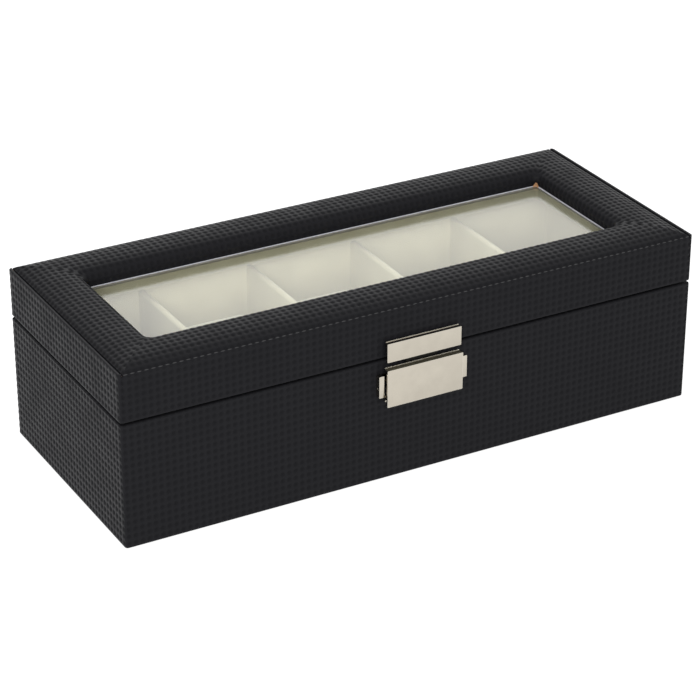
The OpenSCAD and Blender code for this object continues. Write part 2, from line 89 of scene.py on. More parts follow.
CELLS_X = 90
CELLS_Y = 37
BASE_ROWS = 17
LID_ROWS = 6.5
STEPS = 4
CELL_X = 2 * HALF_W / CELLS_X
CELL_Y = 2 * HALF_D / CELLS_Y
DIMPLE_REACH = 0.46
RELIEF = 0.46 * MM
EDGE_FADE = 0.9 * MM
FOLD_FADE = 0.6 * MM


def clamp(value, low, high):
    return max(low, min(high, value))


def smooth(value):
    """Eases from 0 to 1 as the value goes from 0 to 1."""
    t = clamp(value, 0, 1)
    return t * t * (3 - 2 * t)


def dimple(a, b):
    """Depth of the embossing at a place in the lattice, from 0 on a ridge to 1 in a dimple."""
    p, q = a % 1 - 0.5, b % 1 - 0.5
    r2 = (p * p + q * q) / DIMPLE_REACH**2
    return (1 - r2) ** 2 if r2 < 1 else 0


# ---- Mesh helpers ----


def link(name, mesh, material, body):
    """Puts a mesh in the scene as a piece that rides on a body, with its material."""
    piece = bpy.data.objects.new(name, mesh)
    bpy.context.scene.collection.objects.link(piece)
    mesh.materials.clear()
    mesh.materials.append(material)
    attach(piece, body)
    return piece


def mesh_of(name, points, faces, corners=None):
    """A mesh of points and faces; corners gives each face's UVs, in the order of its points."""
    mesh = bpy.data.meshes.new(name)
    mesh.from_pydata(points, [], faces)
    if corners:
        layer = mesh.uv_layers.new(name="cells")
        layer.data.foreach_set("uv", [c for face in corners for uv in face for c in uv])
    return mesh


WELD = 2e-6


def welded(mesh):
    """Joins points that lie on each other, and drops the faces that this leaves without area."""
    bm = bmesh.new()
    bm.from_mesh(mesh)
    bmesh.ops.remove_doubles(bm, verts=bm.verts, dist=WELD)
    bmesh.ops.dissolve_degenerate(bm, edges=bm.edges, dist=WELD)
    bmesh.ops.recalc_face_normals(bm, faces=bm.faces)
    bm.to_mesh(mesh)
    bm.free()
    return mesh


def rounded_off(mesh, angle):
    """Smooth shading that keeps the edges sharper than the angle, in degrees."""
    mesh.shade_smooth()
    mesh.set_sharp_from_angle(angle=math.radians(angle))
    return mesh


def applied(piece):
    """Replaces a piece's mesh with the result of its modifiers."""
    graph = bpy.context.evaluated_depsgraph_get()
    result = bpy.data.meshes.new_from_object(piece.evaluated_get(graph))
    piece.modifiers.clear()
    piece.data = result
    return piece


# ---- Materials ----


SMEAR_SHADE = 0.93


def new_material(name):
    """A material with its node tree and its Principled shader."""
    material = bpy.data.materials.new(name)
    material.use_nodes = True
    tree = material.node_tree
    return material, tree, tree.nodes["Principled BSDF"]


def put(tree, socket, value):
    """Sets a socket to a constant, or links it to another socket."""
    if isinstance(value, bpy.types.NodeSocket):
        tree.links.new(value, socket)
    else:
        socket.default_value = value


def add(tree, kind, inputs=(), **settings):
    """A shader node with its settings, and its inputs given by name or number."""
    made = tree.nodes.new("ShaderNode" + kind)
    for key, value in settings.items():
        setattr(made, key, value)
    for key, value in dict(inputs).items():
        put(tree, made.inputs[key], value)
    return made


def maths(tree, operation, *values):
    """The result of a Math node."""
    return add(tree, "Math", enumerate(values), operation=operation).outputs[0]


def noise_at(tree, size, detail, vector=None):
    """Noise whose features are about size metres across."""
    vector = vector or add(tree, "TexCoord").outputs["Object"]
    inputs = {"Vector": vector, "Scale": 1 / size, "Detail": detail}
    return add(tree, "TexNoise", inputs).outputs[0]


def ramp(tree, fac, low, high, from_low=0.0, from_high=1.0):
    """A value that goes from low to high as fac goes from from_low to from_high."""
    inputs = {0: fac, 1: from_low, 2: from_high, 3: low, 4: high}
    return add(tree, "MapRange", inputs).outputs[0]


def blend_colours(tree, fac, low, high):
    """The colour between two others, low where fac is 0 and high where it is 1."""
    inputs = {0: fac, 6: low, 7: high}
    return add(tree, "Mix", inputs, data_type="RGBA").outputs[2]


def bump(tree, height, distance, strength):
    """A normal bent by a height, whose full range is distance metres high."""
    inputs = {"Height": height, "Distance": distance, "Strength": strength}
    return add(tree, "Bump", inputs).outputs[0]


def mottle(tree, shader, pattern, dark, light, low=0.3, high=0.7):
    """Colours the surface from dark to light as a pattern goes from low to high."""
    fac = ramp(tree, pattern, 0, 1, low, high)
    put(tree, shader.inputs["Base Color"], blend_colours(tree, fac, dark, light))


def leatherette():
    """Black embossed leatherette: shiny ridges, duller dimples a little darker in colour as painted
    shade, and a fine grain.
    """
    material, tree, shader = new_material("leatherette")
    cells = add(tree, "UVMap", uv_map="cells").outputs[0]
    local = add(tree, "VectorMath", {0: cells}, operation="FRACTION").outputs[0]
    centre = {0: local, 1: (0.5, 0.5, 0)}
    away = add(tree, "VectorMath", centre, operation="SUBTRACT").outputs[0]
    reach = add(tree, "VectorMath", {0: away}, operation="LENGTH").outputs["Value"]
    ridge = ramp(tree, reach, 0, 1, 0.22, 0.5)
    grain = noise_at(tree, 0.35 * MM, 4)
    cloud = noise_at(tree, 14 * MM, 2)
    # Ridges against dimples, uneven across the skin: it sets the roughness, and darkens the dimples'
    # colour as painted shade in the recesses.
    ridge_mask_with_dimple_shade = maths(tree, "MULTIPLY", ridge, ramp(tree, cloud, 0.75, 1.15, 0.3, 0.7))
    put(tree, shader.inputs["Base Color"], blend_colours(
        tree, ridge_mask_with_dimple_shade, (0.0070, 0.0070, 0.0081, 1), (0.0090, 0.0090, 0.0104, 1)))
    rough = maths(tree, "ADD", ramp(tree, ridge_mask_with_dimple_shade, 0.7, 0.36), ramp(tree, grain, -0.05, 0.05))
    put(tree, shader.inputs["Roughness"], rough)
    shader.inputs["Specular IOR Level"].default_value = 0.06
    put(tree, shader.inputs["Normal"], bump(tree, grain, 0.03 * MM, 0.6))
    return material


def fold_highlight_leatherette():
    """Paler leatherette for the ridges along the fold: painted highlights where they catch the light."""
    material, tree, shader = new_material("fold_highlight_leatherette")
    grain = noise_at(tree, 0.4 * MM, 3)
    mottle(tree, shader, grain, (0.008, 0.008, 0.0085, 1), (0.023, 0.023, 0.024, 1))
    put(tree, shader.inputs["Roughness"], ramp(tree, grain, 0.5, 0.8))
    put(tree, shader.inputs["Normal"], bump(tree, grain, 0.03 * MM, 0.5))
    return material


def velvet(name, dark, light):
    """Cream velvet: matt, with a soft sheen and a pile that lies unevenly."""
    material, tree, shader = new_material(name)
    pile = noise_at(tree, 0.45 * MM, 4)
    lay = noise_at(tree, 11 * MM, 3)
    tone = maths(tree, "ADD", maths(tree, "MULTIPLY", pile, 0.35), maths(tree, "MULTIPLY", lay, 0.65))
    mottle(tree, shader, tone, dark, light)
    put(tree, shader.inputs["Roughness"], ramp(tree, pile, 0.85, 1.0))
    shader.inputs["Sheen Weight"].default_value = 0.35
    shader.inputs["Sheen Roughness"].default_value = 0.45
    shader.inputs["Specular IOR Level"].default_value = 0.2
    put(tree, shader.inputs["Normal"], bump(tree, pile, 0.12 * MM, 0.5))
    return material


def felt():
    """Black pressed felt: short fibres at random."""
    material, tree, shader = new_material("felt")
    fibre = noise_at(tree, 0.5 * MM, 6)
    mottle(tree, shader, fibre, (0.008, 0.008, 0.009, 1), (0.03, 0.03, 0.032, 1), 0.35, 0.65)
    shader.inputs["Roughness"].default_value = 0.95
    shader.inputs["Sheen Weight"].default_value = 0.3
    put(tree, shader.inputs["Normal"], bump(tree, fibre, 0.25 * MM, 0.7))
    return material


def fibreboard():
    """Raw fibreboard: orange brown, with pressed fibres along the board."""
    material, tree, shader = new_material("board")
    stretch = add(tree, "Mapping", {0: add(tree, "TexCoord").outputs["Object"], 3: (0.2, 0.2, 1)})
    fibre = noise_at(tree, 0.8 * MM, 5, stretch.outputs[0])
    mottle(tree, shader, fibre, (0.22, 0.105, 0.042, 1), (0.36, 0.20, 0.095, 1))
    put(tree, shader.inputs["Roughness"], ramp(tree, fibre, 0.7, 0.9))
    put(tree, shader.inputs["Normal"], bump(tree, fibre, 0.1 * MM, 0.6))
    return material


def open_foam():
    """Open-cell foam: pale, with round pores."""
    material, tree, shader = new_material("foam")
    place = add(tree, "TexCoord").outputs["Object"]
    pores = add(tree, "TexVoronoi", {"Vector": place, "Scale": 1 / (0.9 * MM)}).outputs["Distance"]
    mottle(tree, shader, pores, (0.55, 0.51, 0.41, 1), (0.82, 0.79, 0.68, 1), 0.1, 0.5)
    shader.inputs["Roughness"].default_value = 0.95
    put(tree, shader.inputs["Normal"], bump(tree, pores, 0.4 * MM, 0.6))
    return material


def backing():
    """The pale knitted backing of the leatherette, at its cut edge."""
    material, tree, shader = new_material("backing")
    knit = noise_at(tree, 0.3 * MM, 3)
    mottle(tree, shader, knit, (0.26, 0.26, 0.285, 1), (0.42, 0.42, 0.45, 1), 0.35, 0.65)
    put(tree, shader.inputs["Roughness"], ramp(tree, knit, 0.6, 0.9))
    put(tree, shader.inputs["Normal"], bump(tree, knit, 0.05 * MM, 0.4))
    return material


def clear_glass():
    """A pane that reflects by its angle on the face that light meets, and lets the rest through."""
    material, tree, shader = new_material("glass")
    tree.nodes.remove(shader)
    facing = add(tree, "Fresnel", {"IOR": 1.9}).outputs[0]
    back = add(tree, "NewGeometry").outputs["Backfacing"]
    share = maths(tree, "MULTIPLY", facing, maths(tree, "SUBTRACT", 1.0, back))
    through = add(tree, "BsdfTransparent", {"Color": (0.965, 0.98, 0.965, 1)})
    mirror = add(tree, "BsdfGlossy", {"Color": (1, 1, 1, 1), "Roughness": 0.15})
    mixed = add(tree, "MixShader", {0: share, 1: through.outputs[0], 2: mirror.outputs[0]})
    put(tree, tree.nodes["Material Output"].inputs["Surface"], mixed.outputs[0])
    return material


def metal(name, colour, roughness, streak):
    """Plated metal, with faint brush lines and smears in its polish."""
    material, tree, shader = new_material(name)
    place = add(tree, "TexCoord").outputs["Object"]
    brushed = add(tree, "Mapping", {0: place, 3: (0.04, 1, 1)}).outputs[0]
    lines = noise_at(tree, 0.25 * MM, 3, brushed)
    smear = noise_at(tree, 6 * MM, 3)
    shade = tuple(c * SMEAR_SHADE for c in colour[:3]) + (1,)
    mottle(tree, shader, smear, shade, colour)
    shader.inputs["Metallic"].default_value = 1
    brush = ramp(tree, lines, roughness - streak, roughness + streak)
    rough = maths(tree, "ADD", brush, ramp(tree, smear, -streak, streak))
    put(tree, shader.inputs["Roughness"], rough)
    put(tree, shader.inputs["Normal"], bump(tree, lines, 0.004 * MM, 0.25))
    return material


MATERIALS = {
    "leatherette": leatherette(),
    "velvet": velvet("velvet", (0.57, 0.52, 0.37, 1), (0.67, 0.615, 0.455, 1)),
    # A paler copy of the velvet for the pillows: painted light on their tops under the window.
    "pillow_velvet_painted_light": velvet("pillow_velvet_painted_light", (0.76, 0.72, 0.57, 1), (0.86, 0.82, 0.67, 1)),
    "shaded_velvet": velvet("shaded_velvet", (0.31, 0.285, 0.205, 1), (0.38, 0.35, 0.26, 1)),
    "felt": felt(),
    "board": fibreboard(),
    "foam": open_foam(),
    "backing": backing(),
    "glass": clear_glass(),
    "nickel": metal("nickel", (0.49, 0.452, 0.383, 1), 0.1, 0.02),
    # Pale nickel on the rounded edges: a painted highlight.
    "edge_highlight_nickel": metal("edge_highlight_nickel", (0.92, 0.89, 0.81, 1), 0.22, 0.02),
    # Darker, rougher nickel for the lever's faces that look up: the darkness is painted shade under the
    # strike plate.
    "painted_shade_nickel": metal("painted_shade_nickel", (0.26, 0.24, 0.17, 1), 0.5, 0.05),
    # Pale dashes on the fold's ridges: painted highlights.
    "fold_highlight_leatherette": fold_highlight_leatherette(),
    "dark_steel": metal("dark_steel", (0.03, 0.029, 0.028, 1), 0.4, 0.06),
}

# ---- The cover of the walls ----


def outline_columns():
    """Columns round the case, counter-clockwise from the front left: ("x" or "y", place along the
    side, side) on a straight and ("arc", sign of x, sign of y, angle) at a corner, each with its
    place in the lattice."""
    columns = []
    start = 0
    for side, half, cell, other in (
        ("front", HALF_W, CELL_X, CELL_Y), ("right", HALF_D, CELL_Y, CELL_X),
        ("back", HALF_W, CELL_X, CELL_Y), ("left", HALF_D, CELL_Y, CELL_X),
    ):
        forward = 1 if side in ("front", "right") else -1
        sign = -1 if side in ("front", "left") else 1
        cells = round(2 * half / cell)
        for k in range(cells * STEPS + 1):
            along = -half + k * cell / STEPS
            if abs(along) < half - CORNER_R:
                axis = "x" if side in ("front", "back") else "y"
                columns.append((axis, forward * along, sign, start + k / STEPS))
        sx = 1 if side in ("front", "right") else -1
        sy = 1 if side in ("right", "back") else -1
        first = {"front": -90, "right": 0, "back": 90, "left": 180}[side]
        a0, a1 = start + cells - CORNER_R / cell, start + cells + CORNER_R / other
        for k in range(TURN_STEPS + 1):
            angle = math.radians(first + 90 * k / TURN_STEPS)
            columns.append(("arc", sx, sy, angle, a0 + (a1 - a0) * k / TURN_STEPS))
        start += cells
    return columns, start


COLUMNS, AROUND = outline_columns()


def place(column, inset):
    """Where a column lies, at a distance in from the outside of the case."""
    r = max(CORNER_R - inset, 0)
    hx, hy = HALF_W - inset - r, HALF_D - inset - r
    if column[0] == "x":
        return clamp(column[1], -hx, hx), column[2] * (hy + r)
    if column[0] == "y":
        return column[2] * (hx + r), clamp(column[1], -hy, hy)
    return column[1] * hx + r * math.cos(column[3]), column[2] * hy + r * math.sin(column[3])


def on_end(column):
    """True for the columns of the case's two ends, their corners included."""
    return column[0] != "x"


def wall_skin(name, rows_for):
    """A closed skin round the case. rows_for(at an end or not) gives the section's rows as
    (inset, height, lattice row, relief), going up the outside and back down the inside."""
    sections = {end: rows_for(end) for end in (False, True)}
    points, places = [], []
    for column in COLUMNS:
        for inset, z, b, relief in sections[on_end(column)]:
            x, y = place(column, inset + relief * RELIEF * dimple(column[-1], b))
            points.append((x, y, z))
            places.append((column[-1], b))
    count, rows = len(COLUMNS), len(sections[False])
    faces, corners = [], []
    for i in range(count):
        following = (i + 1) % count
        wrap = AROUND if following == 0 else 0
        for j in range(rows):
            k = (j + 1) % rows
            ids = (i * rows + j, following * rows + j, following * rows + k, i * rows + k)
            faces.append(ids)
            uvs = [places[n] for n in ids]
            uvs[1] = (uvs[1][0] + wrap, uvs[1][1])
            uvs[2] = (uvs[2][0] + wrap, uvs[2][1])
            if k == 0:
                uvs[2], uvs[3] = (uvs[2][0], uvs[1][1]), (uvs[3][0], uvs[0][1])
            corners.append(uvs)
    return rounded_off(welded(mesh_of(name, points, faces, corners)), 50)


def arc(centre, r, start, steps):
    """Points of a quarter turn clockwise from an angle in degrees: [(inset, height)]."""
    turns = [math.radians(start - 90 * k / steps) for k in range(steps + 1)]
    return [(centre[0] + r * math.cos(t), centre[1] + r * math.sin(t)) for t in turns]


def wall_rows(low, high, cells, fade_low, fade_high):
    """Rows up an outside wall, with the relief faded out towards its two edges."""
    count = max(2, round(cells * STEPS))
    rows = []
    for k in range(count + 1):
        z = low + (high - low) * k / count
        fade = smooth((z - low) / fade_low) * smooth((high - z) / fade_high)
        rows.append((0, z, cells * k / count, fade))
    return rows


def flat(points, b):
    """Rows of a section without relief, all at one place in the lattice."""
    return [(u, z, b, 0) for u, z in points]


def base_rows(end):
    """The base's section, which is the same all round, so that end makes no difference."""
    low, high = base_low.z, base_high.z
    foot, brow = 0.5 * MM, 0.8 * MM
    wall = wall_rows(low + foot, high - brow, BASE_ROWS, EDGE_FADE, EDGE_FADE)
    top = arc((brow, high - brow), brow, 180, 4)[1:]
    bottom = arc((foot, low + foot), foot, 270, 3)[:-1]
    inside = [
        (BOARD_IN - RIM_CHAMFER, high), (BOARD_IN, high - RIM_CHAMFER), (BOARD_IN, high - COVER_T),
        (COVER_T, high - COVER_T), (COVER_T, low + COVER_T),
        (SOLE_FLAP_IN, low + COVER_T), (SOLE_FLAP_IN, low),
    ]
    return wall + flat(top + inside, BASE_ROWS + 0.5) + flat(bottom, 0)


def lid_rows(end):
    """The section of the lid's walls. An end has a lip that stands up beside the pad."""
    low = side_low.z
    foot, brow = 0.8 * MM, 0.4 * MM
    high = side_high.z if end else WALL_TOP
    thick = LIP_W if end else COVER_T
    cells = LID_ROWS
    if end:
        wall = wall_rows(low + foot, high - brow, cells, EDGE_FADE, EDGE_FADE)
        top = arc((brow, high - brow), brow, 180, 2)[1:] + arc((thick - brow, high - brow), brow, 90, 2)
        floor = WALL_TOP + GROOVE_FLOOR
        groove = [(thick, floor), (GROOVE_IN, floor), (GROOVE_IN, WALL_TOP)]
    else:
        wall = wall_rows(low + foot, high, cells, EDGE_FADE, FOLD_FADE)
        top = [(thick * k / 4, high) for k in range(5)]
        groove = 3 * [(thick, high)]
    inside = groove + [
        (COVER_T, WALL_TOP), (COVER_T, low + COVER_T),
        (BOARD_IN, low + COVER_T), (BOARD_IN, FLAP_TOP), (BOARD_IN + FLAP_T, FLAP_TOP),
        (BOARD_IN + FLAP_T, low + FLAP_FOOT), (BOARD_IN, low),
    ]
    bottom = arc((foot, low + foot), foot, 270, 4)[:-1]
    return wall + flat(top + inside, cells + 0.5) + flat(bottom, 0)


base_mesh = wall_skin("base_skin", base_rows)
base_skin = link("base_skin", base_mesh, MATERIALS["leatherette"], "base")
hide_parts("base_cover")
lid_mesh = wall_skin("lid_wall_skin", lid_rows)
lid_skin = link("lid_wall_skin", lid_mesh, MATERIALS["leatherette"], "lid")
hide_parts("lid_side_cover")

# ---- The padded frame round the window ----

PAD_STEP = CELL_X / STEPS
FOLD_R = 0.2 * MM
LEDGE = 0.8 * MM
LEDGE_RISE = 0.08 * MM
LEDGE_TO_PAD = 0.25 * MM
LEDGE_RELIEF = 0.25
LEDGE_FADE = 0.8 * MM
WINDOW_FADE = 2.5 * MM
MITRE_FADE = 0.7 * MM
STRETCHED = 0.35
STRETCHED_TO = 1.5 * MM
STRETCH_EASED = 6 * MM
TURNED_IN = 3 * MM
TURNED_T = 0.1 * MM
SHOULDER_T = 0.2 * MM
GLASS_GAP = 0.04 * MM
PAD_FOOT = 0.1 * MM
CORNER_ROUND = 4.5 * MM
CORNER_AT_GLASS = 0.25
CORNER_OPENS = 6 * MM
CORNER_RISES = 5 * MM
PROFILE_STEPS = 200


def pad_height(u):
    """Height of the pad at a distance in from the front of the case, up to its crest."""
    return FOLD_Z + PAD_RISE * math.sin(math.radians(90) * (u / CREST_IN) ** 0.8)


def pad_profile():
    """The pad from the fold to the glass, resampled in equal steps: [(inset, height, distance)]."""
    dense = [(0, WALL_TOP)]
    dense += arc((FOLD_R, FOLD_Z - FOLD_R), FOLD_R, 180, 4) + [(LEDGE, FOLD_Z + LEDGE_RISE)]
    start = LEDGE + LEDGE_TO_PAD
    for k in range(PROFILE_STEPS + 1):
        u = start + (CREST_IN - start) * k / PROFILE_STEPS
        dense.append((u, pad_height(u)))
    shoulder = WINDOW_IN - CREST_IN
    for k in range(1, PROFILE_STEPS + 1):
        t = math.radians(90 * k / PROFILE_STEPS)
        away, drop = math.sin(t) ** (2 / SHOULDER_POWER), max(math.cos(t), 0) ** (2 / SHOULDER_POWER)
        dense.append((CREST_IN + shoulder * away, PAD_TOP - SHOULDER_DROP * (1 - drop)))
    dense.append((WINDOW_IN, GLASS_TOP + PAD_FOOT))
    gone = [0]
    for (u0, z0), (u1, z1) in zip(dense, dense[1:]):
        gone.append(gone[-1] + math.hypot(u1 - u0, z1 - z0))
    count = round(gone[-1] / PAD_STEP)
    rows, at = [], 0
    for k in range(count + 1):
        goal = gone[-1] * k / count
        while at < len(gone) - 2 and gone[at + 1] < goal:
            at += 1
        t = (goal - gone[at]) / max(gone[at + 1] - gone[at], 1e-9)
        (u0, z0), (u1, z1) = dense[at], dense[at + 1]
        rows.append((u0 + (u1 - u0) * t, z0 + (z1 - z0) * t, goal))
    return rows


def end_inset(u):
    """The same place in the section along an end of the lid, where the pad starts at the groove."""
    return GROOVE_IN + u * (WINDOW_IN - GROOVE_IN) / WINDOW_IN


def corner_round(z, u):
    """Radius of the window's corners at a row of the pad: widest at the shoulder, least at the glass."""
    if u < CREST_IN:
        return 0
    opened = smooth((u - CREST_IN) / CORNER_OPENS)
    raised = smooth((z - GLASS_TOP) / CORNER_RISES)
    return CORNER_ROUND * opened * (CORNER_AT_GLASS + (1 - CORNER_AT_GLASS) * raised)


def round_corner(short, radius):
    """Takes a place on a straight side, short of the mitre by a distance, onto the rounded corner.
    Gives how far it then is short of the mitre along the side, and how far it moves in."""
    if short >= radius or radius == 0:
        return short, 0
    turn = math.radians(45) * (1 - short / radius)
    return radius * (1 - math.sin(turn)), radius * (1 - math.cos(turn))


def pad_underside(top):
    """The pad's hidden side: turned under at the window, then back below the skin to the fold."""
    low, high = GLASS_TOP + GLASS_GAP, GLASS_TOP + GLASS_GAP + TURNED_T
    turned = [(WINDOW_IN - TURNED_IN, low), (WINDOW_IN - TURNED_IN, high), (WINDOW_IN - COVER_T, high)]
    slope = [(u - COVER_T, z - SHOULDER_T) for u, z, _ in top[-3:-9:-2]]
    bend = [(CREST_IN + 7 * MM, PAD_TOP - 1.35 * MM)]
    crest = [(u, pad_height(u) - COVER_T) for u in (CREST_IN, 0.6 * CREST_IN, 0.3 * CREST_IN)]
    return turned + slope + bend + crest + [(COVER_T, FOLD_Z - 0.5 * MM), (COVER_T, WALL_TOP)]


def lid_pad_mesh():
    """The pad's skin: four strips that meet in mitres. Each strip keeps the lattice of its side,
    and on the long sides the relief is pulled flatter near the fold."""
    top = pad_profile()
    count = len(top)
    rows = []
    for k, (u, z, gone) in enumerate(top):
        u0, z0, _ = top[max(k - 1, 0)]
        u1, z1, _ = top[min(k + 1, count - 1)]
        length = math.hypot(u1 - u0, z1 - z0)
        normal = (-(z1 - z0) / length, (u1 - u0) / length)
        fade = LEDGE_RELIEF + (1 - LEDGE_RELIEF) * smooth((u - LEDGE) / LEDGE_FADE)
        fade *= smooth(gone / FOLD_FADE) * smooth((top[-1][2] - gone) / WINDOW_FADE)
        rows.append((u, z, gone, normal, fade))
    rows += [(u, z, top[-1][2], (0, 0), 0) for u, z in pad_underside(top)]

    points, faces, corners = [], [], []
    for side in ("front", "right", "back", "left"):
        along_x = side in ("front", "back")
        sign = -1 if side in ("front", "left") else 1
        half, cell, cross = (HALF_W, CELL_X, CELL_Y) if along_x else (HALF_D, CELL_Y, CELL_X)
        columns = round(2 * half / cell) * STEPS + 1
        first = len(points)
        places = []
        for i in range(columns):
            for u, z, gone, normal, fade in rows:
                insets = (u, end_inset(u)) if along_x else (end_inset(u), u)
                limit = half - insets[1]
                t = clamp(-half + i * cell / STEPS, -limit, limit)
                a, b = (t + half) / cell, gone / cross
                depth = RELIEF * fade * smooth((limit - abs(t)) / MITRE_FADE) * dimple(a, b)
                if along_x:
                    eased = smooth((u - STRETCHED_TO) / STRETCH_EASED)
                    depth *= STRETCHED + (1 - STRETCHED) * eased
                short, moved = round_corner(limit - abs(t), corner_round(z, u))
                t = math.copysign(limit - short, t)
                depth_in = insets[0] + moved - depth * normal[0]
                out = sign * ((HALF_D if along_x else HALF_W) - depth_in)
                height = z - depth * normal[1]
                points.append((t, out, height) if along_x else (out, t, height))
                places.append((a, b))
        for i in range(columns - 1):
            for j in range(len(rows)):
                k = (j + 1) % len(rows)
                here, there = i * len(rows), (i + 1) * len(rows)
                ids = (here + j, there + j, there + k, here + k)
                faces.append(tuple(first + n for n in ids))
                corners.append([places[n] for n in ids])
    return rounded_off(welded(mesh_of("lid_pad", points, faces, corners)), 55)


lid_pad = link("lid_pad", lid_pad_mesh(), MATERIALS["leatherette"], "lid")
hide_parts("lid_top_cover")

# ---- Pale dashes along the fold over the front and the back: painted highlights on the ridges ----

RIDGE_R = 0.22 * MM
RIDGE_LONG = 2.1 * MM
RIDGE_LIFT = 0.05 * MM
RIDGE_WAVES = 40
RIDGE_IN = 0.9 * RIDGE_R
RIDGE_DOWN = 0.75 * RIDGE_R


def fold_ridges_mesh():
    """A dash on each ridge of the lattice, mostly sunk in the fold, in a paler skin that is a painted
    highlight.
    """
    bm = bmesh.new()
    count = round(2 * HALF_W / CELL_X)
    for side in (-1, 1):
        for i in range(1, count):
            middle = i * CELL_X - HALF_W
            lift = RIDGE_LIFT * noise.noise(Vector((middle * RIDGE_WAVES, side, 0)))
            sunk = Vector((middle, side * (HALF_D - RIDGE_IN), FOLD_Z - RIDGE_DOWN + lift))
            size = Matrix.Diagonal((RIDGE_LONG / 2, RIDGE_R, RIDGE_R, 1))
            placed = Matrix.Translation(sunk) @ size
            bmesh.ops.create_icosphere(bm, subdivisions=2, radius=1, matrix=placed)
    mesh = bpy.data.meshes.new("fold_ridges")
    bm.to_mesh(mesh)
    bm.free()
    mesh.shade_smooth()
    return mesh


link("fold_ridges", fold_ridges_mesh(), MATERIALS["fold_highlight_leatherette"], "lid")

# ---- Pale edge of the skin, and the bare board in the window's corners ----

BEAD_R = 0.32 * MM
BEAD_ROUND = 1.2 * MM
BEAD_OUT = 1.1 * BEAD_R
BEAD_UP = 1.05 * BEAD_R
GAP_LOW = 0.1 * MM
GAP_HIGH = 2.6 * MM
GAP_WIDE = 2.5 * MM
GAP_T = 0.25 * MM
GAP_DEPTH = 0.55 * MM
GAP_FOLD = 0.45 * MM


def window_ring(inset):
    """Places round the window at an inset from the outside of the case, with rounded corners."""
    hx, hy = HALF_W - inset - BEAD_ROUND, HALF_D - inset - BEAD_ROUND
    places = []
    for sx, sy, first in ((1, 1, 0), (-1, 1, 90), (-1, -1, 180), (1, -1, 270)):
        for k in range(TURN_STEPS + 1):
            t = math.radians(first + 90 * k / TURN_STEPS)
            places.append((sx * hx + BEAD_ROUND * math.cos(t), sy * hy + BEAD_ROUND * math.sin(t)))
    return places


def bead_mesh():
    """A thin rounded edge that runs round the window, where the skin meets the glass."""
    sides = 8
    points, faces = [], []
    for k in range(sides):
        t = 2 * math.pi * k / sides
        z = GLASS_TOP + BEAD_UP + BEAD_R * math.sin(t)
        ring = window_ring(WINDOW_IN + BEAD_OUT + BEAD_R * math.cos(t))
        points += [(x, y, z) for x, y in ring]
    count = len(points) // sides
    for k in range(sides):
        for i in range(count):
            j, m = (i + 1) % count, (k + 1) % sides
            faces.append((k * count + i, k * count + j, m * count + j, m * count + i))
    mesh = welded(mesh_of("window_bead", points, faces))
    mesh.shade_smooth()
    return mesh


def bare_corner_mesh():
    """In each corner of the window, the sliver of board that shows where the skin is slit."""
    bm = bmesh.new()
    low, high = GLASS_TOP + GAP_LOW, GLASS_TOP + GAP_HIGH
    for sx in (-1, 1):
        for sy in (-1, 1):
            x, y = sx * (HALF_W - WINDOW_IN), sy * (HALF_D - WINDOW_IN)
            front = [(GAP_WIDE, 0, low), (0, 0, high), (0, GAP_WIDE, low), (GAP_FOLD, GAP_FOLD, low)]
            layers = []
            for depth in (GAP_DEPTH, GAP_DEPTH - GAP_T):
                layers.append([
                    bm.verts.new((x - sx * (u + depth), y - sy * (v + depth), z)) for u, v, z in front])
            a, b = layers
            for n in range(4):
                m = (n + 1) % 4
                bm.faces.new((a[n], a[m], b[m], b[n]))
            for layer in (a, b):
                bm.faces.new((layer[0], layer[1], layer[3]))
                bm.faces.new((layer[1], layer[2], layer[3]))
    bmesh.ops.recalc_face_normals(bm, faces=bm.faces)
    mesh = bpy.data.meshes.new("bare_corners")
    bm.to_mesh(mesh)
    bm.free()
    return mesh


link("window_bead", bead_mesh(), MATERIALS["backing"], "lid")
link("bare_corners", bare_corner_mesh(), MATERIALS["board"], "lid")

# ---- Watch pillows ----

PILLOWS = [f"pillow_{n}" for n in range(1, 6)]
BLOW_STEPS = 20
BLOW_CAP = 3.5 * MM
BLOW_SHARE = 0.9
BLOCK_ROUND = 5 * MM
VOXEL = 3 * MM
PRESSURE = 4
CORD_R = 0.8 * MM
CORD_SUNK = 0.3 * CORD_R
SEAM_IN = 4 * MM
PINCH = 0.9 * MM
PINCH_WIDE = 3 * MM
WRINKLE = 0.5 * MM
WAVES_ALONG = 90
WAVES_ACROSS = 60
WAVES_SHIFT = 7.3
FULLNESS = (0.93, 1.0, 0.99, 0.95, 0.93)


